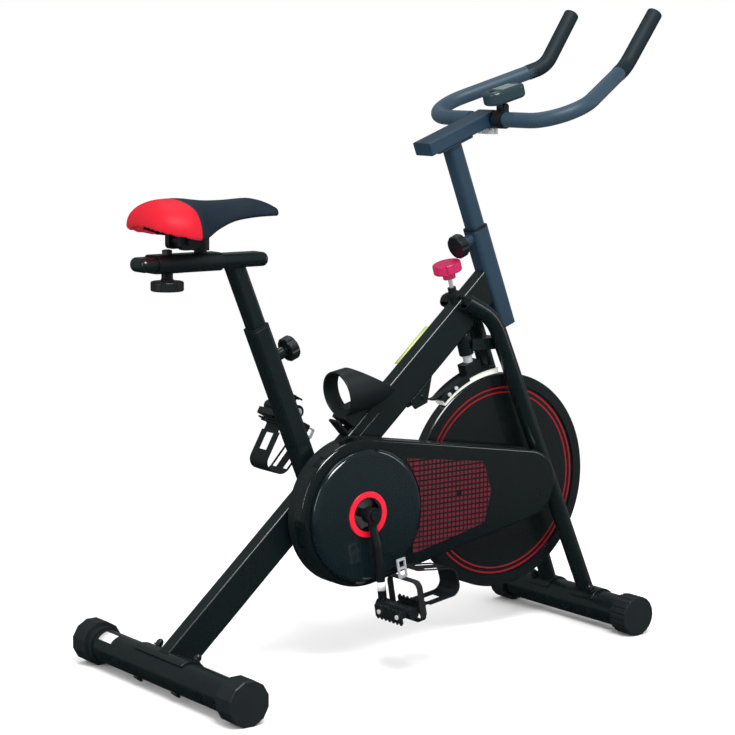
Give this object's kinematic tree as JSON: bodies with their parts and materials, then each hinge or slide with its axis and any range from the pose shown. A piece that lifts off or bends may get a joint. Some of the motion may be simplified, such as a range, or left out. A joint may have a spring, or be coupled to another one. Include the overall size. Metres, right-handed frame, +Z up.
{
  "type": "exercise bike",
  "caption": "Indoor spin bike: sloped box beam on two stabilisers, belt-driven flywheel with felt brake, sliding seat and handlebar posts.",
  "frame": {"origin": "on the floor, in the middle of the bounding box", "axes": "+X forwards, +Y to the rider's left (the belt guard is on -Y), +Z up"},
  "size_m": [1.0912, 0.521, 1.1939],
  "materials": {
    "frame_paint": "semi-gloss black powder coat",
    "black_steel": "satin black",
    "zinc_steel": "zinc plated",
    "chrome": "polished",
    "alloy": "machined",
    "black_plastic": "matte moulded",
    "gloss_black": "gloss moulded",
    "disc_black": "gloss moulded, blue-black",
    "red_ring": "gloss red",
    "red_mesh": "dark red punched sheet",
    "wheel_paint": "gloss black paint, fine red pinstripes, ground rim",
    "bearing_steel": "ground",
    "belt_rubber": "ribbed",
    "foam": "matte closed-cell foam",
    "saddle_vinyl": "matte black vinyl with a glossy red tail",
    "felt": "dense cream felt",
    "strap_webbing": "woven webbing with a chromed buckle",
    "cap_rubber": "matte moulded",
    "cage_steel": "black",
    "console_plastic": "matte moulded with a grey screen"
  },
  "bodies": {
    "frame": {"main_beam": "frame_paint", "seat_tube": "frame_paint", "head_tube": "frame_paint", "fork_legs": "frame_paint", "fork_brace": "frame_paint", "saddle_plates": "frame_paint", "rear_stabiliser": "frame_paint", "front_stabiliser": "frame_paint", "stabiliser_fasteners": "zinc_steel", "bottom_bracket": "frame_paint", "wheel_stays": "frame_paint", "ball_bearings": "bearing_steel", "brake_lug": "frame_paint", "plastic_bushes": "black_plastic", "guard_outer": "gloss_black", "guard_inner": "black_plastic", "guard_screws": "zinc_steel", "guard_disc": "disc_black", "guard_ring": "red_ring", "louvre_panel": "red_mesh", "bottle_cage": "cage_steel", "drive_belt": "belt_rubber", "brake_spring": "zinc_steel", "seat_pin_spring": "zinc_steel", "handlebar_pin_spring": "zinc_steel"},
    "crankset": {"crank_arm_right": "black_steel", "crank_arm_left": "black_steel", "drive_pulley": "alloy", "spindles": "bearing_steel"},
    "right_pedal": {"pedal_right": "black_plastic", "toe_clip_right": "black_plastic", "toe_strap_right": "strap_webbing"},
    "left_pedal": {"pedal_left": "black_plastic", "toe_clip_left": "black_plastic", "toe_strap_left": "strap_webbing"},
    "wheel": {"flywheel": "wheel_paint", "wheel_axle": "bearing_steel"},
    "seat_mast": {"seat_post": "frame_paint"},
    "slider": {"seat_slider": "black_steel", "saddle_clamp": "black_steel"},
    "slider_hand_knob": {"slider_knob": "black_plastic"},
    "saddle": {"saddle_rails": "chrome", "saddle_pad": "saddle_vinyl"},
    "seat_lock": {"seat_pin": "black_plastic"},
    "bar_mast": {"handlebar_post": "frame_paint", "stem": "frame_paint", "handlebar": "frame_paint", "bar_foam": "foam", "console_bracket": "black_plastic"},
    "bar_lock": {"handlebar_pin": "black_plastic"},
    "console": {"console_body": "console_plastic"},
    "console_key": {"console_button": "black_plastic"},
    "brake_press_body": {"brake_plunger": "zinc_steel"},
    "brake_turn_body": {"brake_screw": "red_ring"},
    "brake_swing": {"brake_arm": "black_steel", "brake_pad": "felt"},
    "rear_cap_right": {"levelling_cap_right": "cap_rubber"},
    "rear_cap_left": {"levelling_cap_left": "cap_rubber"},
    "front_roller_right": {"roller_cap_right": "cap_rubber"},
    "front_roller_left": {"roller_cap_left": "cap_rubber"}
  },
  "joints": [
    {"name": "crank_turn", "type": "hinge", "parent": "frame", "child": "crankset", "pos_m": [-0.119, 0, 0.2855], "axis": [0, 1, 0], "continuous": true},
    {"name": "pedal_right_turn", "type": "hinge", "parent": "crankset", "child": "right_pedal", "pos_m": [-0.09775, -0.15, 0.12187], "axis": [0, 1, 0], "continuous": true},
    {"name": "pedal_left_turn", "type": "hinge", "parent": "crankset", "child": "left_pedal", "pos_m": [-0.14025, 0.15, 0.44913], "axis": [0, 1, 0], "continuous": true},
    {"name": "flywheel_turn", "type": "hinge", "parent": "frame", "child": "wheel", "pos_m": [0.2567, 0, 0.2953], "axis": [0, 1, 0], "continuous": true},
    {"name": "seat_height", "type": "slide", "parent": "frame", "child": "seat_mast", "axis": [-0.3827, 0, 0.9239], "range_m": [-0.1, 0.1]},
    {"name": "seat_fore_aft", "type": "slide", "parent": "seat_mast", "child": "slider", "axis": [1, 0, 0], "range_m": [-0.04, 0.04]},
    {"name": "slider_knob_turn", "type": "hinge", "parent": "slider", "child": "slider_hand_knob", "pos_m": [-0.484, 0, 0.71], "axis": [0, 0, 1], "range_deg": [-180, 180]},
    {"name": "saddle_tilt", "type": "hinge", "parent": "slider", "child": "saddle", "pos_m": [-0.455, 0, 0.786], "axis": [0, 1, 0], "range_deg": [-12, 12]},
    {"name": "seat_pin_pull", "type": "slide", "parent": "frame", "child": "seat_lock", "axis": [0.9239, 0, 0.3827], "range_m": [-0.004, 0.005], "deforming": ["seat_pin_spring"]},
    {"name": "handlebar_height", "type": "slide", "parent": "frame", "child": "bar_mast", "axis": [-0.36, 0, 0.933], "range_m": [0, 0.1]},
    {"name": "handlebar_pin_pull", "type": "slide", "parent": "frame", "child": "bar_lock", "axis": [-0.933, 0, -0.36], "range_m": [-0.004, 0.0015], "deforming": ["handlebar_pin_spring"]},
    {"name": "console_tilt", "type": "hinge", "parent": "bar_mast", "child": "console", "pos_m": [0.222, -0.042, 1.009], "axis": [0, 1, 0], "range_deg": [-10, 25]},
    {"name": "console_button_press", "type": "slide", "parent": "console", "child": "console_key", "axis": [-0.2588, 0, 0.9659], "range_m": [-0.001, 0]},
    {"name": "brake_press", "type": "slide", "parent": "frame", "child": "brake_press_body", "axis": [0.2857, 0, -0.9583], "range_m": [0, 0.0016], "deforming": ["brake_spring"]},
    {"name": "brake_knob_turn", "type": "hinge", "parent": "brake_press_body", "child": "brake_turn_body", "pos_m": [0.15343, 0, 0.62483], "axis": [-0.2857, 0, 0.9583], "range_deg": [-720, 720]},
    {"name": "brake_arm_swing", "type": "hinge", "parent": "frame", "child": "brake_swing", "pos_m": [0.062, 0, 0.474], "axis": [0, 1, 0], "range_deg": [0, 0.75]},
    {"name": "rear_cap_right_turn", "type": "hinge", "parent": "frame", "child": "rear_cap_right", "pos_m": [-0.49, -0.239, 0.038], "axis": [0, 1, 0], "range_deg": [-90, 90]},
    {"name": "rear_cap_left_turn", "type": "hinge", "parent": "frame", "child": "rear_cap_left", "pos_m": [-0.49, 0.239, 0.038], "axis": [0, 1, 0], "range_deg": [-90, 90]},
    {"name": "front_roller_right_turn", "type": "hinge", "parent": "frame", "child": "front_roller_right", "pos_m": [0.449, -0.18, 0.038], "axis": [0, 1, 0], "continuous": true},
    {"name": "front_roller_left_turn", "type": "hinge", "parent": "frame", "child": "front_roller_left", "pos_m": [0.449, 0.18, 0.038], "axis": [0, 1, 0], "continuous": true}
  ],
  "couplings": [
    {"joint": "flywheel_turn", "follows": "crank_turn", "ratio": 3.25},
    {"joint": "brake_arm_swing", "follows": "brake_press", "rad_per_m": 7.72}
  ]
}
